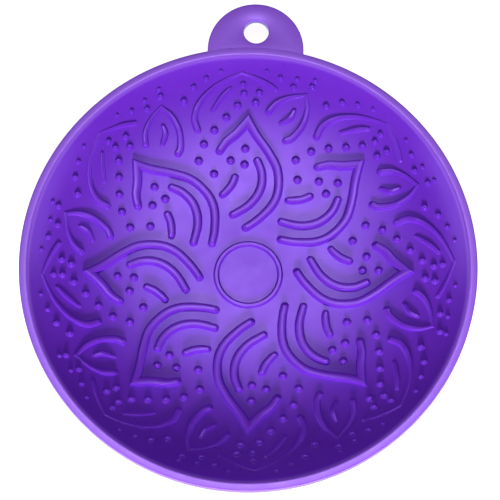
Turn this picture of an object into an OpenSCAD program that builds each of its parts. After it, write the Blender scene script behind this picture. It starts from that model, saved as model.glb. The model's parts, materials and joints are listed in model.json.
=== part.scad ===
// Round lick mat for dogs: a shallow soft rubber bowl with a raised petal pattern
// on its inside, a flat rim and a hang tab. Millimetres, +Z up, the origin in the
// middle of the flat base, +Y towards the hang tab.

/* [Bowl] */
// Outside diameter of the rim
rim_d = 203; // [180:1:240]
// Depth from the rim's top face down to the middle of the dish
dish_depth = 17; // [15:0.5:24]
// Wall thickness of the dish
wall_t = 3; // [2.4:0.1:4]
// Diameter of the flat base that the mat stands on
base_d = 90; // [70:1:110]

/* [Rim] */
// Width of the rim, from its outer edge to the corner over the dish wall
rim_w = 3.6; // [3:0.1:5]
// Height of the rim band
rim_t = 5.2; // [4:0.1:7]
// Rounding of the rim's edge over the dish
rim_inner_round = 2.5; // [1:0.1:3]
// Rounding of the rim's and the tab's outer edges
outer_round = 0.5; // [0.2:0.1:1]

/* [Hang tab] */
// Width of the hang tab, and diameter of its round end
tab_w = 43.2; // [34:0.2:50]
// Distance that the tab stands out beyond the rim
tab_reach = 20.8; // [18:0.2:25]
// Thickness of the tab
tab_t = 5.2; // [3:0.1:5.2]
// Diameter of the hang hole
hole_d = 11.4; // [8:0.2:14]
// Web between the hang hole and the tab's end
hole_web = 7.3; // [5:0.1:9]

/* [Pattern] */
// Margin between the outermost tips of the pattern and the rim's inner corner
pattern_margin = 5.8; // [5:0.1:9]

/* [Main petals] */
// Height of the main petals' ridges
petal_h = 2.4; // [1.5:0.1:3]
// Run of a ridge's sloping flank
petal_flank = 1.1; // [0.7:0.1:1.4]

/* [Outer petals] */
// Height of the outer petals' ridges at their blunt ends
outer_h = 1.6; // [1:0.1:2]
// Run of the flank on the outer petals' and the buds' ridges
outer_flank = 0.7; // [0.4:0.1:1]

/* [Buds] */
// Height of the buds' ridges at their blunt ends
bud_h = 1.7; // [1:0.1:2]

/* [Studs] */
// Diameter of a full size stud
stud_d = 3.5; // [2.6:0.1:3.8]
// Height of a full size stud
stud_h = 1.5; // [0.8:0.1:2]

/* [Centre ring] */
// Outside diameter of the ring in the middle
ring_d = 30.6; // [24:0.2:34]
// Width of the ring's band
ring_w = 2.1; // [1.4:0.1:3]
// Height of the ring
ring_h = 1.3; // [0.8:0.1:2]

/* [Hidden] */
// How far the pattern is turned against the hang tab, in degrees
pattern_turn = 2;
// Number of times that the pattern repeats round the dish
sectors = 8;
// Radii that the tips of the main petals and the buds reach, as shares of pattern_r
petal_tip_share = 0.784;
bud_tip_share = 0.93;
// Clearance between a ridge or stud and the dish under it
seat_gap = 0.1;
// Shape of the dish: a wide bowl that turns up into a steep wall
bowl_share = 0.85;
bowl_power = 3.6;
wall_power = 14;
// Steps along the dish's profile and along a rounded edge
dish_steps = 30;
round_steps = 6;

rim_r = rim_d / 2;
corner_r = rim_r - rim_w;
top_z = wall_t + dish_depth;
seat_z = top_z - rim_t;
base_r = base_d / 2;
pad_edge = wall_t / 3;
tab_end_y = rim_r + tab_reach;
tab_mid_y = tab_end_y - tab_w / 2;
hole_y = tab_end_y - hole_web - hole_d / 2;
through = tab_t;

// The pattern follows the rim: its outermost tips and studs stand at pattern_r
pattern_r = corner_r - pattern_margin;
petal_tip_r = pattern_r * petal_tip_share;
outer_tip_r = pattern_r;
bud_tip_r = pattern_r * bud_tip_share;
stud_reach_r = pattern_r;

function dish_rise(r) = dish_depth
    * (bowl_share * pow(r / corner_r, bowl_power)
       + (1 - bowl_share) * pow(r / corner_r, wall_power));
function dish_z(r) = wall_t + dish_rise(r);
function dish_angle(r) = atan(dish_depth / corner_r
    * (bowl_share * bowl_power * pow(r / corner_r, bowl_power - 1)
       + (1 - bowl_share) * wall_power * pow(r / corner_r, wall_power - 1)));

// The radius at which a rising function reaches a height, by halving
function find_r(rising, height, low, high, turns = 24) =
    let (middle = (low + high) / 2)
    turns == 0 ? middle
    : rising(middle) < height ? find_r(rising, height, middle, high, turns - 1)
    : find_r(rising, height, low, middle, turns - 1);

// Where the rim band sits on the dish, and where the rim's rounded edge begins
seat_r = find_r(function(r) dish_z(r), seat_z, 0, corner_r);
edge_r = find_r(function(r) dish_z(r) + rim_inner_round * (1 - cos(dish_angle(r))),
                top_z, 0, corner_r);
edge_mid_r = edge_r + rim_inner_round * sin(dish_angle(edge_r));

function dish_radius(i) = corner_r * sin(90 * i / dish_steps);
function arc_points(middle, radius, from, to) =
    [for (i = [0:round_steps])
        let (turn = from + (to - from) * i / round_steps)
        middle + radius * [cos(turn), sin(turn)]];

// Full section of the dish wall from the middle to the rim's top face
module dish_section() {
    inside = [for (i = [0:dish_steps]) [dish_radius(i), dish_z(dish_radius(i))]];
    outside = [for (i = [dish_steps:-1:0])
        let (r = dish_radius(i), lean = dish_angle(r))
        if (r > base_r + pad_edge)
            [r + wall_t * sin(lean), dish_z(r) - wall_t * cos(lean)]];
    polygon(concat(inside, outside, [[base_r, 0], [0, 0]]));
}

// Bowl shaped wall and floor, with a flat base below and a level seat for the rim
module dish_shell() {
    color([0.42, 0.22, 0.80])
    rotate_extrude($fn = 120)
    difference() {
        dish_section();
        translate([0, seat_z]) square([rim_r, 2 * rim_t]);
    }
}

// Rim band with a flat top, whose inside carries on the dish's wall
module rim_band() {
    wall = [for (i = [0:dish_steps])
        let (r = seat_r + (edge_r - seat_r) * i / dish_steps)
        if (i % 3 == 0) [r, dish_z(r)]];
    inner_edge = arc_points([edge_mid_r, top_z - rim_inner_round], rim_inner_round,
                            90 + dish_angle(edge_r), 90);
    outer_edge = arc_points([rim_r - outer_round, top_z - outer_round],
                            outer_round, 90, 0);
    lower_edge = arc_points([rim_r - outer_round, seat_z + outer_round],
                            outer_round, 0, -90);
    color([0.63, 0.42, 0.96])
    rotate_extrude($fn = 120)
    polygon(concat(wall, [for (i = [1:round_steps]) inner_edge[i]],
                   outer_edge, lower_edge));
}

// Half of the tab's section, from its middle to its rounded edge
module tab_section() {
    polygon(concat([[0, 0]],
        arc_points([tab_w / 2 - outer_round, outer_round], outer_round, -90, 0),
        arc_points([tab_w / 2 - outer_round, tab_t - outer_round], outer_round, 0, 90),
        [[0, tab_t]]));
}

// Flat tab with a round end and a hang hole, level with the rim's top face
module hang_tab() {
    color([0.53, 0.33, 0.84])
    translate([0, 0, top_z - tab_t])
    difference() {
        translate([0, tab_mid_y, 0]) {
            rotate_extrude($fn = 96) tab_section();
            rotate([90, 0, 0])
            linear_extrude(tab_reach) {
                tab_section();
                mirror([1, 0]) tab_section();
            }
        }
        translate([0, 0, -through]) cylinder(h = 3 * through, r = rim_r, $fn = 120);
        translate([0, hole_y, -through]) cylinder(h = 3 * through, d = hole_d, $fn = 64);
    }
}

// Raised ring in the middle of the dish
module centre_ring() {
    ring_r = ring_d / 2;
    edge = ring_w / 4;
    color([0.60, 0.40, 0.94])
    translate([0, 0, dish_z(ring_r) + seat_gap])
    rotate_extrude($fn = 96)
    polygon(concat([[ring_r - ring_w, 0], [ring_r, 0]],
        arc_points([ring_r - edge, ring_h - edge], edge, 0, 90),
        arc_points([ring_r - ring_w + edge, ring_h - edge], edge, 90, 180)));
}

// Ridges that follow a line of [x, y, half width] points over the dish

function unit(v) = v / norm(v);
function left_of(v) = [-v[1], v[0]];

// A smooth run through the points: each span is cut into steps
function spline_at(a, b, c, d, t) = 0.5 * (2 * b + (c - a) * t
    + (2 * a - 5 * b + 4 * c - d) * t * t + (3 * b - a - 3 * c + d) * t * t * t);
function smooth_line(points, steps) = let (last = len(points) - 1)
    concat([for (i = [0:last - 1], s = [0:steps - 1])
        spline_at(points[max(i - 1, 0)], points[i], points[i + 1],
                  points[min(i + 2, last)], s / steps)],
        [points[last]]);
function backwards(list) = [for (i = [len(list) - 1:-1:0]) list[i]];
function without_last(list) = [for (i = [0:len(list) - 2]) list[i]];

// Rings of [x, y, across, half width, height share] that round off a ridge's end.
// Each row: distance past the end, half width and height, as shares.
end_shares = [[0.5, 0.87, 1], [0.85, 0.53, 0.6], [1, 0.12, 0.06]];
function end_rings(point, out, across) =
    [for (e = end_shares)
        [[point[0], point[1]] + out * point[2] * e[0], across, point[2] * e[1], e[2]]];

function flat(p) = [p[0], p[1]];
function line_rings(line) = let (last = len(line) - 1)
    [for (i = [0:last])
        let (here = flat(line[i]),
             before = i == 0 ? undef : unit(here - flat(line[i - 1])),
             after = i == last ? undef : unit(flat(line[i + 1]) - here),
             ahead = i == 0 ? after : i == last ? before : unit(before + after),
             stretch = i == 0 || i == last ? 1 : 1 / (ahead * after))
        [here, left_of(ahead) * stretch, line[i][2], 1]];

// Section of a ridge: half width as a share of the flank taken off, height share
section_shares = [[0, 0], [0.45, 0.72], [1, 1]];

module ridge(line, height, flank) {
    last = len(line) - 1;
    start_out = unit(flat(line[0]) - flat(line[1]));
    end_out = unit(flat(line[last]) - flat(line[last - 1]));
    rings = concat(backwards(end_rings(line[0], start_out, left_of(-start_out))),
                   line_rings(line),
                   end_rings(line[last], end_out, left_of(end_out)));
    sides = 2 * len(section_shares);
    points = [for (ring = rings)
        let (run = min(flank, ring[2] * 0.8), tall = min(height, ring[2]) * ring[3])
        for (k = [0:sides - 1])
            let (side = k < sides / 2 ? 1 : -1,
                 share = section_shares[k < sides / 2 ? k : sides - 1 - k],
                 place = ring[0] + ring[1] * side * (ring[2] - run * share[0]))
            [place[0], place[1], dish_z(norm(place)) + seat_gap + tall * share[1]]];
    skin = [for (j = [0:len(rings) - 2], k = [0:sides - 1])
        let (a = j * sides + k, b = j * sides + (k + 1) % sides)
        each [[a, b, b + sides], [a, b + sides, a + sides]]];
    start_cap = [[for (k = [sides - 1:-1:0]) k]];
    end_cap = [[for (k = [0:sides - 1]) (len(rings) - 1) * sides + k]];
    polyhedron(points, concat(skin, start_cap, end_cap), convexity = 6);
}

// Joins two strokes at their shared tip, the first point of each
module tipped_ridge(short_side, long_side, reach, height, flank, steps) {
    line = concat(without_last(backwards(smooth_line(short_side * reach, steps))),
                  smooth_line(long_side * reach, steps));
    ridge(line, height, flank);
}

module plain_ridge(stroke, reach, height, flank, steps) {
    ridge(smooth_line(stroke * reach, steps), height, flank);
}

module in_sector(k) {
    rotate(pattern_turn - k * 360 / sectors) children();
}

// Main petal, as shares of petal_tip_r: x, y and half width along each stroke
crown_short_shares = [[0, 0.978, 0.031], [-0.073, 0.9, 0.031], [-0.137, 0.848, 0.029],
                      [-0.178, 0.79, 0.026]];
crown_long_shares = [[0, 0.978, 0.031], [0.053, 0.89, 0.029], [0.131, 0.779, 0.029],
                     [0.184, 0.67, 0.029], [0.187, 0.54, 0.029], [0.144, 0.44, 0.029],
                     [0.054, 0.35, 0.027], [-0.018, 0.301, 0.025]];
arc_shares = [[0.058, 0.731, 0.025], [0.084, 0.66, 0.028], [0.084, 0.58, 0.029],
              [0.053, 0.504, 0.029], [-0.007, 0.439, 0.028], [-0.095, 0.386, 0.025]];
dash_shares = [[-0.082, 0.626, 0.025], [-0.103, 0.578, 0.026], [-0.137, 0.535, 0.025],
               [-0.161, 0.513, 0.021]];

// Outer petal, as shares of outer_tip_r
rear_short_shares = [[-0.031, 0.99, 0.006], [0.011, 0.977, 0.007],
                     [0.083, 0.945, 0.01], [0.138, 0.912, 0.01]];
rear_long_shares = [[-0.031, 0.99, 0.006], [-0.105, 0.958, 0.008],
                    [-0.176, 0.914, 0.01], [-0.236, 0.849, 0.013],
                    [-0.262, 0.777, 0.017], [-0.246, 0.721, 0.017]];
rear_vein_shares = [[-0.083, 0.92, 0.009], [-0.127, 0.877, 0.012],
                    [-0.175, 0.814, 0.009]];

// Bud between two main petals, as shares of bud_tip_r
bud_short_shares = [[0.305, 0.948, 0.008], [0.224, 0.941, 0.01],
                    [0.151, 0.912, 0.014], [0.108, 0.868, 0.017]];
bud_long_shares = [[0.305, 0.948, 0.008], [0.311, 0.875, 0.013],
                   [0.287, 0.798, 0.017], [0.234, 0.735, 0.019],
                   [0.199, 0.72, 0.019]];
bud_vein_shares = [[0.245, 0.879, 0.01], [0.222, 0.836, 0.015],
                   [0.172, 0.811, 0.011]];

// Studs of one sector: x, y as shares of stud_reach_r, and size as a share
stud_shares = [
    // three inside the main petal
    [-0.013, 0.633, 1], [-0.085, 0.575, 1], [-0.017, 0.555, 1],
    // the chain that climbs beside the main petal, and the group over its tip
    [-0.166, 0.508, 1], [-0.241, 0.572, 1], [-0.216, 0.654, 1], [-0.165, 0.723, 1],
    [-0.106, 0.785, 1], [-0.051, 0.842, 1], [0.038, 0.855, 1], [-0.019, 0.897, 0.95],
    [0.056, 0.901, 0.95], [-0.023, 0.939, 0.85],
    // the row along the outer petal
    [-0.314, 0.857, 1], [-0.267, 0.921, 0.9], [-0.203, 0.963, 0.75],
    [-0.132, 0.996, 0.6], [0.093, 0.996, 0.6], [0.16, 0.965, 0.8],
    // the pairs round the bud's tip
    [0.224, 0.922, 0.9], [0.243, 0.957, 0.65], [0.315, 0.919, 0.9], [0.331, 0.946, 0.65]];
// Half of a stud's outline, as shares of its radius and height
stud_outline_shares = [[0, 0], [1, 0], [0.95, 0.4], [0.78, 0.78], [0.45, 0.96], [0, 1]];

module petal(k) {
    color([0.50, 0.29, 0.86])
    in_sector(k) {
        tipped_ridge(crown_short_shares, crown_long_shares, petal_tip_r,
                     petal_h, petal_flank, 2);
        plain_ridge(arc_shares, petal_tip_r, petal_h, petal_flank, 2);
        plain_ridge(dash_shares, petal_tip_r, petal_h, petal_flank, 2);
    }
}

module outer_petal(k) {
    color([0.44, 0.24, 0.80])
    in_sector(k) {
        tipped_ridge(rear_short_shares, rear_long_shares, outer_tip_r,
                     outer_h, outer_flank, 3);
        plain_ridge(rear_vein_shares, outer_tip_r, outer_h, outer_flank, 3);
    }
}

module bud(k) {
    color([0.47, 0.27, 0.83])
    in_sector(k) {
        tipped_ridge(bud_short_shares, bud_long_shares, bud_tip_r,
                     bud_h, outer_flank, 3);
        plain_ridge(bud_vein_shares, bud_tip_r, bud_h, outer_flank, 3);
    }
}

// A stud leans with the dish's wall, so that its foot lies flat on it
module stud(place, size) {
    r = norm(place);
    translate([place[0], place[1], dish_z(r)])
    rotate(atan2(place[1], place[0]))
    rotate([0, -dish_angle(r), 0])
    translate([0, 0, seat_gap])
    rotate_extrude($fn = 24)
    polygon([for (s = stud_outline_shares)
        [s[0] * size * stud_d / 2, s[1] * size * stud_h]]);
}

module studs(k) {
    color([0.55, 0.34, 0.90])
    in_sector(k)
    for (s = stud_shares) stud(flat(s) * stud_reach_r, s[2]);
}

dish_shell();
rim_band();
hang_tab();
centre_ring();
petal(0);  // petal_1
petal(1);  // petal_2
petal(2);  // petal_3
petal(3);  // petal_4
petal(4);  // petal_5
petal(5);  // petal_6
petal(6);  // petal_7
petal(7);  // petal_8
outer_petal(0);  // outer_petal_1
outer_petal(1);  // outer_petal_2
outer_petal(2);  // outer_petal_3
outer_petal(3);  // outer_petal_4
outer_petal(4);  // outer_petal_5
outer_petal(5);  // outer_petal_6
outer_petal(6);  // outer_petal_7
outer_petal(7);  // outer_petal_8
bud(0);  // bud_1
bud(1);  // bud_2
bud(2);  // bud_3
bud(3);  // bud_4
bud(4);  // bud_5
bud(5);  // bud_6
bud(6);  // bud_7
bud(7);  // bud_8
studs(0);  // studs_1
studs(1);  // studs_2
studs(2);  // studs_3
studs(3);  // studs_4
studs(4);  // studs_5
studs(5);  // studs_6
studs(6);  // studs_7
studs(7);  // studs_8
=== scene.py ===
# Lick mat: a soft rubber bowl with a raised petal pattern, a flat rim and a hang tab.
# Sizes are in millimetres until a piece is made, and then in metres.
import json
import math

import bpy
import numpy as np
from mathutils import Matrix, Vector


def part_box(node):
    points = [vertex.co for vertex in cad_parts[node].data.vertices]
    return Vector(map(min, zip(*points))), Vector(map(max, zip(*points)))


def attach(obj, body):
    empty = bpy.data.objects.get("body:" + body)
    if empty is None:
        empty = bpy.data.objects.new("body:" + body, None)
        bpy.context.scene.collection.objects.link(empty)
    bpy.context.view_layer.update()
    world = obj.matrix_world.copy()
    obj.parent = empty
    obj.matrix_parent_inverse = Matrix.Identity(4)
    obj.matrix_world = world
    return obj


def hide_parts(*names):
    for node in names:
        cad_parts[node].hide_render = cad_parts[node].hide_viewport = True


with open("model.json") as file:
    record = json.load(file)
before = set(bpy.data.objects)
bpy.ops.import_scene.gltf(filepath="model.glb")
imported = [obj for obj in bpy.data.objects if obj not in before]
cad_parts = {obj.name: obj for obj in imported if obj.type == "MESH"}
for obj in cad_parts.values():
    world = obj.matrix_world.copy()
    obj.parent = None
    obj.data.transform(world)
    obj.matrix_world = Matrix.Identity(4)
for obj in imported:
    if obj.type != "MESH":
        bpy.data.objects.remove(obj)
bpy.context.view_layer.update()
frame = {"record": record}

MM = 0.001

# Sizes read from the frame
RIM_LOW, RIM_HIGH = (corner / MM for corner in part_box("rim_band"))
TAB_LOW, TAB_HIGH = (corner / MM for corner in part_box("hang_tab"))
RING_LOW, RING_HIGH = (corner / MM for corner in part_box("centre_ring"))
HOLE = next(m for m in frame["record"]["mounts"] if m["name"] == "hang_hole")
RIM_R = RIM_HIGH.x
TOP_Z = RIM_HIGH.z
SEAT_Z = RIM_LOW.z
TAB_R = TAB_HIGH.x
TAB_MID_Y = TAB_HIGH.y - TAB_R
TAB_LOW_Z = TAB_LOW.z
HOLE_Y = HOLE["pos_m"][1] / MM
HOLE_R = HOLE["dims"]["r_mm"]

# The bowl, as in the part's source
DISH_DEPTH = 17
WALL_T = TOP_Z - DISH_DEPTH
BASE_R = 45
BASE_EDGE = 0.3
BASE_FLARE = 0.5
RIM_W = 3.6
CORNER_R = RIM_R - RIM_W
BOWL_SHARE = 0.85
BOWL_POWER = 3.6
WALL_POWER = 14
RIM_INNER_ROUND = 2.5
OUTER_ROUND = 0.5
HOLE_ROUND = 0.4
UNDER_RIM_FILLET = 1.6
RING_W = 2.1

# The pattern, as in the part's source
PATTERN_TURN = 2
SECTORS = 8
PATTERN_MARGIN = 5.8
PETAL_TIP_SHARE = 0.784
BUD_TIP_SHARE = 0.93
PATTERN_R = CORNER_R - PATTERN_MARGIN
PETAL_TIP_R = PATTERN_R * PETAL_TIP_SHARE
BUD_TIP_R = PATTERN_R * BUD_TIP_SHARE
STUD_R = 1.75
STUD_H = 1.5
PETAL_H = 2.4
OUTER_H = 1.6
BUD_H = 1.7

# How a ridge is moulded. A ridge of the full half width has its full height, and a
# narrower one is lower. Its flanks are steep, and on a wide ridge they start a little
# inside its outline. Its top is crowned by a share of its height.
FLANK_SLOPE = 7
FULL_HALF_WIDTH = 1.4
NARROWING = 1.5
SET_IN_FROM = 1.2
SET_IN_SHARE = 0.3
MOST_SET_IN = 0.25
CROWN = 0.12

# The way that a ridge's end takes to sink into the dish: on the short and the long
# side of its pointed outline, and on its other strokes
PETAL_FADES = (2.2, 2.2, 1.2)
FINE_FADES = (1.6, 1.6, 1.6)
FADE_FULLNESS = 0.8

# The radii along the edges of the relief, how far its skirt is sunk in the dish and
# how deep its hidden side goes
PETAL_ROUNDING = 0.14
FINE_ROUNDING = 0.13
RING_ROUNDING = 0.16
SKIRT = 0.012
ROOT = 0.6

# How fine the meshes are: the pitch of the ridges' grids, the steps round a turn and
# along an edge, and the points along a section
PITCH = 0.18
LATHE_STEPS = 360
RIM_STEPS = 720
RIM_INNER_STEPS = 14
OUTER_EDGE_STEPS = 6
HOLE_EDGE_STEPS = 5
TAB_EDGE_STEPS = 96
STROKE_STEPS = 8
STUD_SIDES = 28
STUD_STEPS = 2
INSIDE_POINTS = 120
OUTSIDE_POINTS = 90
FILLET_POINTS = 9
RIM_WALL_POINTS = 24
TAB_SEAM_POINTS = 41
RING_POINTS = 49
RING_KERNEL_POINTS = 13

# A radius that counts as none, and a depth that stands for well outside a stroke
ON_AXIS = 1e-6
FAR_OUTSIDE = 100


def dish_z(r):
    """Height of the dish's inside at a radius."""
    share = np.asarray(r, float) / CORNER_R
    return WALL_T + DISH_DEPTH * (
        BOWL_SHARE * share**BOWL_POWER + (1 - BOWL_SHARE) * share**WALL_POWER
    )


def dish_angle(r):
    """Lean of the dish's inside at a radius, in radians."""
    share = np.asarray(r, float) / CORNER_R
    return np.arctan(
        DISH_DEPTH / CORNER_R * (
            BOWL_SHARE * BOWL_POWER * share ** (BOWL_POWER - 1)
            + (1 - BOWL_SHARE) * WALL_POWER * share ** (WALL_POWER - 1)
        )
    )


def find_r(rising, height):
    """The radius at which a rising function reaches a height, by halving."""
    low, high = 0.0, CORNER_R
    halvings = 40
    for _ in range(halvings):
        middle = (low + high) / 2
        if rising(middle) < height:
            low = middle
        else:
            high = middle
    return low


SEAT_R = find_r(dish_z, SEAT_Z)
EDGE_R = find_r(
    lambda r: dish_z(r) + RIM_INNER_ROUND * (1 - np.cos(dish_angle(r))), TOP_Z
)


# Pieces

def make_piece(name, points, faces, material, nodes, sharp_angle=None):
    """A smooth shaded piece that rides on the mat's one body and stands for its nodes."""
    mesh = bpy.data.meshes.new(name)
    mesh.from_pydata((np.asarray(points, float) * MM).tolist(), [], faces)
    mesh.shade_smooth()
    if sharp_angle:
        mesh.set_sharp_from_angle(angle=math.radians(sharp_angle))
    mesh.materials.append(material)
    piece = bpy.data.objects.new(name, mesh)
    bpy.context.scene.collection.objects.link(piece)
    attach(piece, "root")
    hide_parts(*nodes)


def arc(middle, radius, start, end, steps):
    """Points on an arc; start and end are in degrees."""
    turns = np.radians(np.linspace(start, end, steps + 1))
    return np.stack(
        [middle[0] + radius * np.cos(turns), middle[1] + radius * np.sin(turns)], axis=1
    )


def lathe(profile_at, closed, steps=LATHE_STEPS):
    """Turns a profile of (radius, height) round the Z axis. profile_at(turn) gives it
    for each angle. A closed one's last point joins its first, and a point on the axis
    becomes one shared point."""
    turns = 2 * math.pi * np.arange(steps) / steps
    profiles = np.array([profile_at(turn) for turn in turns])
    count = profiles.shape[1]
    points, rings = [], []
    for i in range(count):
        radius, height = profiles[:, i, 0], profiles[:, i, 1]
        if radius.max() < ON_AXIS:
            rings.append([len(points)] * steps)
            points.append((0, 0, height[0]))
            continue
        rings.append(list(range(len(points), len(points) + steps)))
        points.extend(zip(radius * np.cos(turns), radius * np.sin(turns), height))
    faces = []
    for i in range(count if closed else count - 1):
        inner, outer = rings[i], rings[(i + 1) % count]
        for j in range(steps):
            k = (j + 1) % steps
            corners = [inner[j], outer[j], outer[k], inner[k]]
            faces.append(list(dict.fromkeys(corners)))
    return points, faces


def dish_profile():
    """The bowl from the middle of its inside, over the seat and back under its base."""
    past_seat = 4
    past_base = 1
    inside_r = SEAT_R * np.sin(np.linspace(0, math.pi / 2, INSIDE_POINTS))
    inside = np.stack([inside_r, dish_z(inside_r)], axis=1)
    wall_r = np.linspace(SEAT_R + past_seat, BASE_R + past_base, OUTSIDE_POINTS)
    lean = dish_angle(wall_r)
    outside = np.stack(
        [wall_r + WALL_T * np.sin(lean), dish_z(wall_r) - WALL_T * np.cos(lean)], axis=1
    )
    corner_r = float(np.interp(SEAT_Z, outside[::-1, 1], outside[::-1, 0]))
    outside = outside[outside[:, 1] < SEAT_Z - UNDER_RIM_FILLET]
    share = np.linspace(0, 1, FILLET_POINTS)[:-1, None]
    fillet = (
        (1 - share) ** 2 * [corner_r + UNDER_RIM_FILLET, SEAT_Z]
        + 2 * share * (1 - share) * [corner_r, SEAT_Z]
        + share**2 * outside[0]
    )
    foot = [[BASE_R + BASE_FLARE, BASE_EDGE], [BASE_R - BASE_EDGE, 0], [0, 0]]
    return np.concatenate([inside, fillet, outside, foot])


def rim_profile(turn):
    """The rim band's section. Its outer top edge is square only where the tab joins,
    and turns round beside it over a short way."""
    square_share = 0.02
    change_turn = 0.006
    aside = abs(math.remainder(turn - math.pi / 2, 2 * math.pi))
    reach = math.asin(TAB_R / RIM_R)
    share = min(1, max(square_share, (aside - reach) / change_turn + 1))
    rounding = OUTER_ROUND * share
    lean = float(dish_angle(EDGE_R))
    wall_r = np.linspace(SEAT_R, EDGE_R, RIM_WALL_POINTS)
    wall = np.stack([wall_r, dish_z(wall_r)], axis=1)
    middle = (EDGE_R + RIM_INNER_ROUND * math.sin(lean), TOP_Z - RIM_INNER_ROUND)
    inner_edge = arc(
        middle, RIM_INNER_ROUND, 90 + math.degrees(lean), 90, RIM_INNER_STEPS
    )
    outer_edge = arc(
        (RIM_R - rounding, TOP_Z - rounding), rounding, 90, 0, OUTER_EDGE_STEPS
    )
    lower_edge = arc(
        (RIM_R - OUTER_ROUND, SEAT_Z + OUTER_ROUND), OUTER_ROUND, 0, -90, OUTER_EDGE_STEPS
    )
    return np.concatenate([wall, inner_edge[1:], outer_edge, lower_edge])


def tab_outline(inset):
    """The tab's outline, moved in by inset on its free edge but not against the rim."""
    radius = TAB_R - inset
    across = radius * np.sin(np.linspace(-math.pi / 2, math.pi / 2, TAB_SEAM_POINTS))
    seam = np.stack([across, np.sqrt(RIM_R**2 - across**2)], axis=1)
    free = arc((0, TAB_MID_Y), radius, 0, 180, TAB_EDGE_STEPS)
    return np.concatenate([seam, free])


def tab_loops():
    """Loops over the top from the hole to the free edge, and back below."""
    outline = tab_outline(0)
    turns = np.arctan2(outline[:, 1] - HOLE_Y, outline[:, 0])
    around = np.stack([np.cos(turns), np.sin(turns)], axis=1)
    rows = []
    for end, up in ((TOP_Z, 1), (TAB_LOW_Z, -1)):
        half = []
        for turn in np.radians(np.linspace(0, 90, HOLE_EDGE_STEPS + 1)):
            drop = HOLE_ROUND * (1 - math.sin(turn))
            radius = HOLE_R + HOLE_ROUND * (1 - math.cos(turn))
            half.append(([0, HOLE_Y] + around * radius, end - up * drop))
        for turn in np.radians(np.linspace(90, 0, OUTER_EDGE_STEPS + 1)):
            inset = OUTER_ROUND * (1 - math.cos(turn))
            drop = OUTER_ROUND * (1 - math.sin(turn))
            half.append((tab_outline(inset), end - up * drop))
        rows += half if up > 0 else half[::-1]
    return [np.column_stack([flat, np.full(len(flat), z)]) for flat, z in rows]


def skin_loops(loops):
    """A closed skin over loops of equally many points, each joined to the next."""
    count = len(loops[0])
    faces = []
    for i in range(len(loops)):
        here, there = i * count, (i + 1) % len(loops) * count
        for j in range(count):
            k = (j + 1) % count
            faces.append([here + j, there + j, there + k, here + k])
    return np.concatenate(loops), faces


# Relief: ridges along strokes of [x, y, half width], and studs

def ridge_top(inside, half_width, height):
    """Height of a ridge, from how far inside its outline a point lies. Narrow ridges
    are lower, flanks are steep and set in from the outline, and tops are crowned."""
    tall = height * np.minimum(1, half_width / FULL_HALF_WIDTH) ** NARROWING
    inside = inside - np.clip(SET_IN_SHARE * (half_width - SET_IN_FROM), 0, MOST_SET_IN)
    crown = 1 - CROWN * (1 - np.clip(inside / half_width, 0, 1)) ** 2
    return np.clip(np.minimum(FLANK_SLOPE * inside, tall * crown), 0, None)


def ring_profile():
    """The centre ring's section on the dish, from its inner foot to its outer one."""
    beside = 0.6
    kernel_reach = 0.4
    half_width = RING_W / 2
    height = RING_HIGH.z - RING_LOW.z
    across = np.linspace(-half_width - beside, half_width + beside, RING_POINTS)
    raised = np.minimum(FLANK_SLOPE * (half_width - np.abs(across)), height)
    spread = np.linspace(-kernel_reach, kernel_reach, RING_KERNEL_POINTS)
    kernel = np.exp(-0.5 * (spread / RING_ROUNDING) ** 2)
    raised = np.convolve(np.clip(raised, 0, None), kernel / kernel.sum(), mode="same")
    r = RING_HIGH.x - half_width + across
    top = np.stack([r, dish_z(r) + raised - SKIRT], axis=1)
    root = [[r[-1], dish_z(r[-1]) - ROOT], [r[0], dish_z(r[0]) - ROOT]]
    return np.concatenate([top, root])


def smooth_line(points, steps):
    """A smooth run through the points, as in the part's source."""
    points = np.asarray(points, float)
    last = len(points) - 1
    line = []
    for i in range(last):
        a, b, c, d = (points[min(max(i + n, 0), last)] for n in (-1, 0, 1, 2))
        for t in np.arange(steps) / steps:
            line.append(0.5 * (
                2 * b + (c - a) * t + (2 * a - 5 * b + 4 * c - d) * t**2
                + (3 * b - a - 3 * c + d) * t**3
            ))
    return np.array(line + [points[last]])


def along_stroke(line, flat):
    """For each point: distance to the stroke's line, half width there, length run
    along it, and how far the point lies before its start or beyond its end."""
    start, step = line[:-1, :2], np.diff(line[:, :2], axis=0)
    length = np.hypot(step[:, 0], step[:, 1])
    offset = flat[:, None, :] - start[None]
    share = (offset * step).sum(axis=2) / length**2
    held = np.clip(share, 0, 1)
    gap = offset - held[..., None] * step
    distance = np.hypot(gap[..., 0], gap[..., 1])
    best = distance.argmin(axis=1)
    rows = np.arange(len(flat))
    near, place = distance[rows, best], held[rows, best]
    half_width = line[best, 2] + place * (line[best + 1, 2] - line[best, 2])
    run = np.concatenate([[0], np.cumsum(length)])[best] + place * length[best]
    before = np.maximum(-share[:, 0], 0) * length[0] * (best == 0)
    beyond = np.maximum(share[:, -1] - 1, 0) * length[-1] * (best == len(length) - 1)
    return near, half_width, run, before, beyond, length.sum()


def ramp(travel, reach):
    """Rises smoothly from 0 to 1 over a distance."""
    share = np.clip(travel / reach, 0, 1)
    return np.sin(share * math.pi / 2) ** FADE_FULLNESS


def stroke_height(line, flat, height, end_fade, square_start):
    """Height of one stroke. A square start is where it meets another at a tip."""
    near, half_width, run, before, beyond, total = along_stroke(line, flat)
    inside = half_width - near
    if square_start:
        inside = np.where(before > 0, -FAR_OUTSIDE, inside)
    tall = ridge_top(inside, half_width, height)
    if not square_start:
        tall = tall * ramp(run + line[0, 2] - before, end_fade)
    return tall * ramp(total - run + line[-1, 2] - beyond, end_fade)


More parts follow.
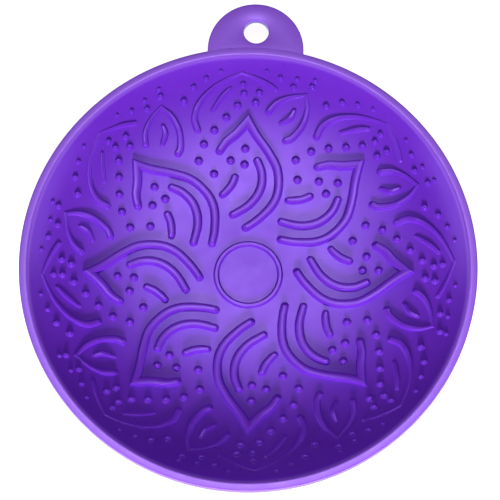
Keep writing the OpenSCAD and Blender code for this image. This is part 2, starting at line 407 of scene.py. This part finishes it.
def tip_height(lines, flat, height):
    """Height of the sharp corner where two strokes meet, beyond both of their lines."""
    tip, half_width = lines[0][0, :2], lines[0][0, 2]
    insides = []
    for line in lines:
        ahead = tip - line[1, :2]
        ahead = ahead / np.hypot(*ahead)
        offset = flat - tip
        aside = np.abs(offset[:, 0] * ahead[1] - offset[:, 1] * ahead[0])
        insides.append(np.where(offset @ ahead > 0, half_width - aside, -FAR_OUTSIDE))
    return ridge_top(np.minimum(*insides), half_width, height)


def soften(field, rounding):
    """Rounds every edge of a height field, as a mould's radii do."""
    half = math.ceil(3 * rounding / PITCH)
    kernel = np.exp(-0.5 * (np.arange(-half, half + 1) * PITCH / rounding) ** 2)
    kernel /= kernel.sum()
    for axis in (0, 1):
        field = np.apply_along_axis(np.convolve, axis, field, kernel, mode="same")
    return field


def ridge_patch(lines, height, rounding, end_fades, tipped):
    """One ridge as a patch over the dish: a grid that follows the ridge's height, with
    its skirt just under the dish and a hidden side below, so that it is closed."""
    least_shown = SKIRT / 4
    every = np.concatenate(lines)
    margin = 2 * every[:, 2].max() + 4 * rounding
    low = every[:, :2].min(axis=0) - margin
    high = every[:, :2].max(axis=0) + margin
    xs = np.arange(low[0], high[0], PITCH)
    ys = np.arange(low[1], high[1], PITCH)
    grid_x, grid_y = np.meshgrid(xs, ys, indexing="ij")
    flat = np.stack([grid_x.ravel(), grid_y.ravel()], axis=1)
    tall = np.zeros(len(flat))
    for line, end_fade in zip(lines, end_fades):
        tall = np.maximum(tall, stroke_height(line, flat, height, end_fade, tipped))
    if tipped:
        tall = np.maximum(tall, tip_height(lines, flat, height))
    raised = soften(tall.reshape(grid_x.shape), rounding)
    shown = raised > least_shown
    cells = shown[:-1, :-1] | shown[1:, :-1] | shown[:-1, 1:] | shown[1:, 1:]
    base = dish_z(np.hypot(grid_x, grid_y))
    return grid_solid(grid_x, grid_y, base + raised - SKIRT, base - ROOT, cells)


def grid_solid(grid_x, grid_y, top, bottom, cells):
    """A closed solid over the chosen cells of a grid, between two height fields."""
    used = np.zeros(grid_x.shape, bool)
    for di in (0, 1):
        for dj in (0, 1):
            used[di:used.shape[0] - 1 + di, dj:used.shape[1] - 1 + dj] |= cells
    number = np.full(grid_x.shape, -1)
    number[used] = np.arange(used.sum())
    count = int(used.sum())
    upper = np.stack([grid_x[used], grid_y[used], top[used]], axis=1)
    lower = np.stack([grid_x[used], grid_y[used], bottom[used]], axis=1)
    i, j = np.nonzero(cells)
    corners = np.stack(
        [number[i, j], number[i + 1, j], number[i + 1, j + 1], number[i, j + 1]], axis=1
    )
    edges = np.concatenate([corners[:, [n, (n + 1) % 4]] for n in range(4)])
    keys = {tuple(edge) for edge in edges.tolist()}
    faces = corners.tolist() + (corners[:, ::-1] + count).tolist()
    for a, b in keys:
        if (b, a) not in keys:
            faces.append([b, a, a + count, b + count])
    return np.concatenate([upper, lower]), faces


def join_solids(solids):
    """Several solids as one list of points and one of faces."""
    points, faces, count = [], [], 0
    for some_points, some_faces in solids:
        points.append(some_points)
        faces += [[index + count for index in face] for face in some_faces]
        count += len(some_points)
    return np.concatenate(points), faces


def turned(points, sector):
    """Points of the first sector, turned to another one."""
    turn = math.radians(PATTERN_TURN - sector * 360 / SECTORS)
    cos, sin = math.cos(turn), math.sin(turn)
    x, y = points[:, 0], points[:, 1]
    return np.stack([x * cos - y * sin, x * sin + y * cos, points[:, 2]], axis=1)


# Main petal, as shares of PETAL_TIP_R: x, y and half width along each stroke
CROWN_SHORT = [[0, 0.978, 0.031], [-0.073, 0.9, 0.031], [-0.137, 0.848, 0.029],
               [-0.178, 0.79, 0.026]]
CROWN_LONG = [[0, 0.978, 0.031], [0.053, 0.89, 0.029], [0.131, 0.779, 0.029],
              [0.184, 0.67, 0.029], [0.187, 0.54, 0.029], [0.144, 0.44, 0.029],
              [0.054, 0.35, 0.027], [-0.018, 0.301, 0.025]]
ARC = [[0.058, 0.731, 0.025], [0.084, 0.66, 0.028], [0.084, 0.58, 0.029],
       [0.053, 0.504, 0.029], [-0.007, 0.439, 0.028], [-0.095, 0.386, 0.025]]
DASH = [[-0.082, 0.626, 0.025], [-0.103, 0.578, 0.026], [-0.137, 0.535, 0.025],
        [-0.161, 0.513, 0.021]]

# Outer petal, as shares of PATTERN_R
REAR_SHORT = [[-0.031, 0.99, 0.006], [0.011, 0.977, 0.007],
              [0.083, 0.945, 0.01], [0.138, 0.912, 0.01]]
REAR_LONG = [[-0.031, 0.99, 0.006], [-0.105, 0.958, 0.008], [-0.176, 0.914, 0.01],
             [-0.236, 0.849, 0.013], [-0.262, 0.777, 0.017], [-0.246, 0.721, 0.017]]
REAR_VEIN = [[-0.083, 0.92, 0.009], [-0.127, 0.877, 0.012], [-0.175, 0.814, 0.009]]

# Bud between two main petals, as shares of BUD_TIP_R
BUD_SHORT = [[0.305, 0.948, 0.008], [0.224, 0.941, 0.01],
             [0.151, 0.912, 0.014], [0.108, 0.868, 0.017]]
BUD_LONG = [[0.305, 0.948, 0.008], [0.311, 0.875, 0.013], [0.287, 0.798, 0.017],
            [0.234, 0.735, 0.019], [0.199, 0.72, 0.019]]
BUD_VEIN = [[0.245, 0.879, 0.01], [0.222, 0.836, 0.015], [0.172, 0.811, 0.011]]

# Studs of one sector: x, y as shares of PATTERN_R, and size as a share
STUDS = [
    # three inside the main petal
    [-0.013, 0.633, 1], [-0.085, 0.575, 1], [-0.017, 0.555, 1],
    # the chain that climbs beside the main petal, and the group over its tip
    [-0.166, 0.508, 1], [-0.241, 0.572, 1], [-0.216, 0.654, 1], [-0.165, 0.723, 1],
    [-0.106, 0.785, 1], [-0.051, 0.842, 1], [0.038, 0.855, 1], [-0.019, 0.897, 0.95],
    [0.056, 0.901, 0.95], [-0.023, 0.939, 0.85],
    # the row along the outer petal
    [-0.314, 0.857, 1], [-0.267, 0.921, 0.9], [-0.203, 0.963, 0.75],
    [-0.132, 0.996, 0.6], [0.093, 0.996, 0.6], [0.16, 0.965, 0.8],
    # the pairs round the bud's tip
    [0.224, 0.922, 0.9], [0.243, 0.957, 0.65], [0.315, 0.919, 0.9], [0.331, 0.946, 0.65],
]
# A stud's outline from its top to its skirt, as shares of its radius and height
STUD_OUTLINE = [[0, 1], [0.25, 0.98], [0.46, 0.92], [0.64, 0.8], [0.78, 0.62],
                [0.87, 0.42], [0.94, 0.22], [1.02, 0.08], [1.12, 0.02], [1.24, 0]]


def strokes(reach, *share_lists):
    """Smooth strokes from shares of the radius that they reach."""
    return [smooth_line(np.array(shares) * reach, STROKE_STEPS) for shares in share_lists]


def ridge_group(reach, height, rounding, fades, tipped, plain):
    """The ridges of one petal or bud: its pointed outline and its plain strokes."""
    outline = strokes(reach, *tipped)
    solids = [ridge_patch(outline, height, rounding, fades[:2], True)]
    for shares in plain:
        lines = strokes(reach, shares)
        solids.append(ridge_patch(lines, height, rounding, fades[2:], False))
    return join_solids(solids)


def stud_solid(place, size):
    """One stud on the leaning wall: its rings follow the dish and rise off it."""
    r = float(np.hypot(*place))
    lean = float(dish_angle(r))
    outward = np.array([place[0], place[1]]) / r
    sideways = np.array([-outward[1], outward[0]])
    normal = np.array([*(-math.sin(lean) * outward), math.cos(lean)])
    turns = 2 * math.pi * np.arange(STUD_SIDES) / STUD_SIDES
    outline = smooth_line(STUD_OUTLINE, STUD_STEPS)
    points = []
    for share, height in outline[1:]:
        reach = share * size * STUD_R
        flat = (
            np.array(place)
            + np.outer(np.cos(turns) * math.cos(lean) * reach, outward)
            + np.outer(np.sin(turns) * reach, sideways)
        )
        ring = np.column_stack([flat, dish_z(np.hypot(flat[:, 0], flat[:, 1]))])
        points.append(ring + normal * (height * size * STUD_H - SKIRT))
    foot = points[-1] - normal * ROOT
    middle = np.array([place[0], place[1], float(dish_z(r))])
    loops = np.concatenate([*points, foot])
    count, last = len(turns), len(points)
    faces = []
    for i in range(last):
        for j in range(count):
            k = (j + 1) % count
            faces.append([i * count + j, (i + 1) * count + j,
                          (i + 1) * count + k, i * count + k])
    top, bottom = len(loops), len(loops) + 1
    for j in range(count):
        k = (j + 1) % count
        faces.append([top, j, k])
        faces.append([bottom, last * count + k, last * count + j])
    ends = [middle + normal * size * STUD_H, middle - normal * ROOT]
    return np.concatenate([loops, ends]), faces


# Materials

# Colours of the rubber: its own, where it is cloudy, and a paler purple painted on the rim's
# top edge as a painted sheen
PURPLE = (0.168, 0.023, 0.65)
CLOUDY_PURPLE = (0.184, 0.029, 0.68)
PAINTED_SHEEN_PURPLE = (0.29, 0.095, 0.8)
SATIN = 0.3
UNEVEN_GLOSS = 0.12
SHEEN_METALLIC = 0.15
RUBBER_IOR = 1.5

# How many clouds, patches of gloss and grains there are in a metre
CLOUDS = 22
GLOSS_PATCHES = 140
GRAINS = 2600
GRAIN_HEIGHT = 0.00004
GRAIN_STRENGTH = 0.25

# How far below the rim's top the painted sheen starts, and where it is full
SHEEN_START = 1.3
SHEEN_FULL = 0.4


def new_node(tree, kind, x, y, **values):
    """A node at a place in the editor. values are its sockets' or its own."""
    node = tree.nodes.new(kind)
    node.location = (x, y)
    for name, value in values.items():
        if name in node.inputs:
            node.inputs[name].default_value = value
        else:
            setattr(node, name, value)
    return node


def rubber_surface_group():
    """Moulded rubber: slight clouding of its colour, uneven gloss and a fine grain."""
    group = bpy.data.node_groups.new("moulded_rubber_surface", "ShaderNodeTree")
    face = group.interface
    for name, kind in (("Colour", "NodeSocketColor"), ("Cloudy Colour", "NodeSocketColor"),
                       ("Roughness", "NodeSocketFloat"), ("Uneven Gloss", "NodeSocketFloat"),
                       ("Grain Scale", "NodeSocketFloat")):
        face.new_socket(name=name, in_out="INPUT", socket_type=kind)
    for name, kind in (("Colour", "NodeSocketColor"), ("Roughness", "NodeSocketFloat"),
                       ("Grain", "NodeSocketFloat")):
        face.new_socket(name=name, in_out="OUTPUT", socket_type=kind)
    given = new_node(group, "NodeGroupInput", -900, 0)
    made = new_node(group, "NodeGroupOutput", 500, 0)
    where = new_node(group, "ShaderNodeTexCoord", -900, -300)
    clouds = new_node(group, "ShaderNodeTexNoise", -600, 200,
                      Scale=CLOUDS, Detail=4.0, Roughness=0.55)
    cloud_range = new_node(group, "ShaderNodeMapRange", -380, 200)
    cloud_range.inputs["From Min"].default_value = 0.35
    cloud_range.inputs["From Max"].default_value = 0.65
    tint = new_node(group, "ShaderNodeMix", -120, 240, data_type="RGBA")
    patches = new_node(group, "ShaderNodeTexNoise", -600, -100,
                       Scale=GLOSS_PATCHES, Detail=3.0, Roughness=0.6)
    swing = new_node(group, "ShaderNodeMath", -380, -100, operation="SUBTRACT")
    swing.inputs[1].default_value = 0.5
    uneven = new_node(group, "ShaderNodeMath", -120, -60, operation="MULTIPLY_ADD")
    grain = new_node(group, "ShaderNodeTexNoise", -600, -420, Detail=2.0, Roughness=0.5)
    link = group.links.new
    for texture in (clouds, patches, grain):
        link(where.outputs["Object"], texture.inputs["Vector"])
    link(clouds.outputs["Fac"], cloud_range.inputs["Value"])
    link(cloud_range.outputs["Result"], tint.inputs["Factor"])
    link(given.outputs["Colour"], tint.inputs["A"])
    link(given.outputs["Cloudy Colour"], tint.inputs["B"])
    link(tint.outputs["Result"], made.inputs["Colour"])
    link(patches.outputs["Fac"], swing.inputs[0])
    link(swing.outputs["Value"], uneven.inputs[0])
    link(given.outputs["Uneven Gloss"], uneven.inputs[1])
    link(given.outputs["Roughness"], uneven.inputs[2])
    link(uneven.outputs["Value"], made.inputs["Roughness"])
    link(given.outputs["Grain Scale"], grain.inputs["Scale"])
    link(grain.outputs["Fac"], made.inputs["Grain"])
    return group


def painted_sheen_top(tree, colour, sheen_colour):
    """Mixes a colour's socket with a paler colour painted on the top of the rim and tab, a
    painted sheen.
    """
    where = new_node(tree, "ShaderNodeTexCoord", -900, 300)
    height = new_node(tree, "ShaderNodeSeparateXYZ", -700, 300)
    top = new_node(tree, "ShaderNodeMapRange", -500, 300)
    top.inputs["From Min"].default_value = (TOP_Z - SHEEN_START) * MM
    top.inputs["From Max"].default_value = (TOP_Z - SHEEN_FULL) * MM
    tint = new_node(tree, "ShaderNodeMix", -250, 240, data_type="RGBA")
    tint.inputs["B"].default_value = (*sheen_colour, 1)
    tree.links.new(where.outputs["Object"], height.inputs["Vector"])
    tree.links.new(height.outputs["Z"], top.inputs["Value"])
    tree.links.new(top.outputs["Result"], tint.inputs["Factor"])
    tree.links.new(colour, tint.inputs["A"])
    return tint.outputs["Result"]


def rubber(name, sheen_colour=None):
    """Satin rubber, dyed right through. A paler colour, a painted sheen, shows on its top
    edge.
    """
    material = bpy.data.materials.new(name)
    material.use_nodes = True
    tree = material.node_tree
    tree.nodes.clear()
    surface = new_node(tree, "ShaderNodeGroup", -500, 0, node_tree=RUBBER_SURFACE)
    surface.inputs["Colour"].default_value = (*PURPLE, 1)
    surface.inputs["Cloudy Colour"].default_value = (*CLOUDY_PURPLE, 1)
    surface.inputs["Roughness"].default_value = SATIN
    surface.inputs["Uneven Gloss"].default_value = UNEVEN_GLOSS
    surface.inputs["Grain Scale"].default_value = GRAINS
    bump = new_node(tree, "ShaderNodeBump", -220, -220)
    bump.inputs["Strength"].default_value = GRAIN_STRENGTH
    bump.inputs["Distance"].default_value = GRAIN_HEIGHT
    shader = new_node(tree, "ShaderNodeBsdfPrincipled", 0, 0)
    shader.inputs["IOR"].default_value = RUBBER_IOR
    shader.inputs["Metallic"].default_value = SHEEN_METALLIC
    out = new_node(tree, "ShaderNodeOutputMaterial", 300, 0)
    link = tree.links.new
    finish = surface.outputs["Colour"]
    # painted sheen: a paler colour painted on the top of the rim and tab
    if sheen_colour:
        finish = painted_sheen_top(tree, finish, sheen_colour)
    link(finish, shader.inputs["Base Color"])
    link(surface.outputs["Roughness"], shader.inputs["Roughness"])
    link(surface.outputs["Grain"], bump.inputs["Height"])
    link(bump.outputs["Normal"], shader.inputs["Normal"])
    link(shader.outputs["BSDF"], out.inputs["Surface"])
    return material


RUBBER_SURFACE = rubber_surface_group()
RUBBER = rubber("purple_satin_rubber")
# the rim and tab rubber carries the painted sheen on its top edge
RIM_RUBBER = rubber("purple_rim_rubber", PAINTED_SHEEN_PURPLE)


# The mat

def make_bowl():
    """The dish, the rim, the tab and the centre ring."""
    profile = dish_profile()
    points, faces = lathe(lambda turn: profile, closed=False)
    make_piece("bowl", points, faces, RUBBER, ["dish_shell"],
               sharp_angle=35)
    points, faces = lathe(rim_profile, closed=True, steps=RIM_STEPS)
    make_piece("rim", points, faces, RIM_RUBBER, ["rim_band"],
               sharp_angle=50)
    points, faces = skin_loops(tab_loops())
    make_piece("tab", points, faces, RIM_RUBBER, ["hang_tab"],
               sharp_angle=50)
    profile = ring_profile()
    points, faces = lathe(lambda turn: profile, closed=True)
    make_piece("ring", points, faces, RUBBER, ["centre_ring"],
               sharp_angle=60)


def make_relief():
    """The petals, the buds and the studs: drawn once, and turned to each sector."""
    solids = {
        "petal": ridge_group(PETAL_TIP_R, PETAL_H, PETAL_ROUNDING, PETAL_FADES,
                             (CROWN_SHORT, CROWN_LONG), (ARC, DASH)),
        "outer_petal": ridge_group(PATTERN_R, OUTER_H, FINE_ROUNDING, FINE_FADES,
                                   (REAR_SHORT, REAR_LONG), (REAR_VEIN,)),
        "bud": ridge_group(BUD_TIP_R, BUD_H, FINE_ROUNDING, FINE_FADES,
                           (BUD_SHORT, BUD_LONG), (BUD_VEIN,)),
        "studs": join_solids([
            stud_solid((x * PATTERN_R, y * PATTERN_R), size) for x, y, size in STUDS
        ]),
    }
    for kind, (points, faces) in solids.items():
        for sector in range(SECTORS):
            node = f"{kind}_{sector + 1}"
            make_piece(f"raised_{node}", turned(points, sector), faces, RUBBER, [node])


make_bowl()
make_relief()


# Studio

# The camera's tilt off the vertical in degrees, its distance from the bowl's top, and
# how far right of the bowl's middle and beyond it the camera aims
CAMERA_TILT = 15.2
CAMERA_DISTANCE = 1407
CAMERA_AIM = (0.8, 6.8)
CAMERA_LENS = 229.15
CAMERA_REACH = 20

# The floor, in metres, and how white it shows to the camera
FLOOR_HALF = 6
FLOOR_GAP = 0.0002
FLOOR_GREY = 0.8
FLOOR_GLOW = 0.85
WORLD_LIGHT = 0.02
SIDE_LAMP_RISE = 0.364

facing = math.radians(PATTERN_TURN)
near_side = Vector((math.sin(facing), -math.cos(facing), 0))
right_side = Vector((math.cos(facing), math.sin(facing), 0))
bowl_top = Vector((0, 0, TOP_Z))


def place_camera():
    """Stands over the mat's near side, as in the photograph."""
    tilt = math.radians(CAMERA_TILT)
    sight = near_side * math.sin(tilt) + Vector((0, 0, math.cos(tilt)))
    eye = bowl_top + sight * CAMERA_DISTANCE
    aim = bowl_top + right_side * CAMERA_AIM[0] - near_side * CAMERA_AIM[1]
    data = bpy.data.cameras.new("camera")
    data.lens = CAMERA_LENS
    data.clip_end = CAMERA_REACH
    camera = bpy.data.objects.new("camera", data)
    camera.location = eye * MM
    camera.rotation_euler = (aim - eye).to_track_quat("-Z", "Y").to_euler()
    bpy.context.scene.collection.objects.link(camera)
    bpy.context.scene.camera = camera


def soft_lamp(name, towards, distance, size, watts, mirrored=True):
    """A soft box that faces the bowl, in metres. towards is (right, far, up), and
    mirrored says whether the lamp shows in the rubber's gloss."""
    data = bpy.data.lights.new(name, "AREA")
    data.shape = "RECTANGLE"
    data.size, data.size_y = size
    data.energy = watts
    lamp = bpy.data.objects.new(name, data)
    lamp.visible_glossy = mirrored
    along = right_side * towards[0] - near_side * towards[1] + Vector((0, 0, towards[2]))
    lamp.location = bowl_top * MM + along.normalized() * distance
    lamp.rotation_euler = (-along).to_track_quat("-Z", "Y").to_euler()
    bpy.context.scene.collection.objects.link(lamp)


def make_floor():
    """A pale floor, white to the camera, that keeps the mat's shadow."""
    corners = [(x * FLOOR_HALF, y * FLOOR_HALF, 0)
               for x, y in ((-1, -1), (1, -1), (1, 1), (-1, 1))]
    mesh = bpy.data.meshes.new("floor")
    mesh.from_pydata(corners, [], [[0, 1, 2, 3]])
    floor = bpy.data.objects.new("floor", mesh)
    floor.location.z = -FLOOR_GAP
    bpy.context.scene.collection.objects.link(floor)
    material = bpy.data.materials.new("white_floor")
    material.use_nodes = True
    tree = material.node_tree
    tree.nodes.clear()
    shader = new_node(tree, "ShaderNodeBsdfPrincipled", 0, 0, Roughness=0.9)
    shader.inputs["Base Color"].default_value = (FLOOR_GREY, FLOOR_GREY, FLOOR_GREY, 1)
    shader.inputs["Emission Color"].default_value = (1, 1, 1, 1)
    path = new_node(tree, "ShaderNodeLightPath", -500, 0)
    seen = new_node(tree, "ShaderNodeMath", -250, 0, operation="MAXIMUM")
    glow = new_node(tree, "ShaderNodeMath", -120, 0, operation="MULTIPLY")
    glow.inputs[1].default_value = FLOOR_GLOW
    out = new_node(tree, "ShaderNodeOutputMaterial", 300, 0)
    link = tree.links.new
    link(path.outputs["Is Camera Ray"], seen.inputs[0])
    link(path.outputs["Is Glossy Ray"], seen.inputs[1])
    link(seen.outputs["Value"], glow.inputs[0])
    link(glow.outputs["Value"], shader.inputs["Emission Strength"])
    link(shader.outputs["BSDF"], out.inputs["Surface"])
    mesh.materials.append(material)


def light_world():
    """A dim world that is white to the camera alone."""
    world = bpy.data.worlds.new("studio")
    bpy.context.scene.world = world
    world.use_nodes = True
    tree = world.node_tree
    background = tree.nodes["Background"]
    background.inputs["Color"].default_value = (1, 1, 1, 1)
    path = new_node(tree, "ShaderNodeLightPath", -500, 0)
    level = new_node(tree, "ShaderNodeMath", -250, 0, operation="MAXIMUM")
    level.inputs[1].default_value = WORLD_LIGHT
    tree.links.new(path.outputs["Is Camera Ray"], level.inputs[0])
    tree.links.new(level.outputs["Value"], background.inputs["Strength"])


def place_lamps():
    """A soft light from above and the sides, a small lamp that gives the bright patch
    beyond the middle, and front lamps that leave the near floor in the rim's shade."""
    soft_lamp("overhead_lamp", (0, 0, 1), distance=1.7, size=(1.4, 1.4), watts=2.6)
    soft_lamp("strip_lamp", (0, 0.02, 1), distance=2.5, size=(1.4, 0.5), watts=6.4)
    soft_lamp("far_lamp", (0, 0.2, 1), distance=2.5, size=(0.3, 0.25), watts=5.8)
    soft_lamp("front_lamp", (0, -1, 0.38), distance=1.1, size=(0.36, 0.22), watts=13.4,
              mirrored=False)
    soft_lamp("low_front_lamp", (0, -1, 0.27), distance=0.9, size=(0.6, 0.16), watts=1.6)
    soft_lamp("left_lamp", (-1, 0, SIDE_LAMP_RISE), distance=0.8, size=(0.5, 0.5), watts=1.05)
    soft_lamp("right_lamp", (1, 0, SIDE_LAMP_RISE), distance=0.8, size=(0.5, 0.5), watts=0.85)


place_camera()
make_floor()
light_world()
place_lamps()
bpy.context.scene.view_settings.view_transform = "Standard"
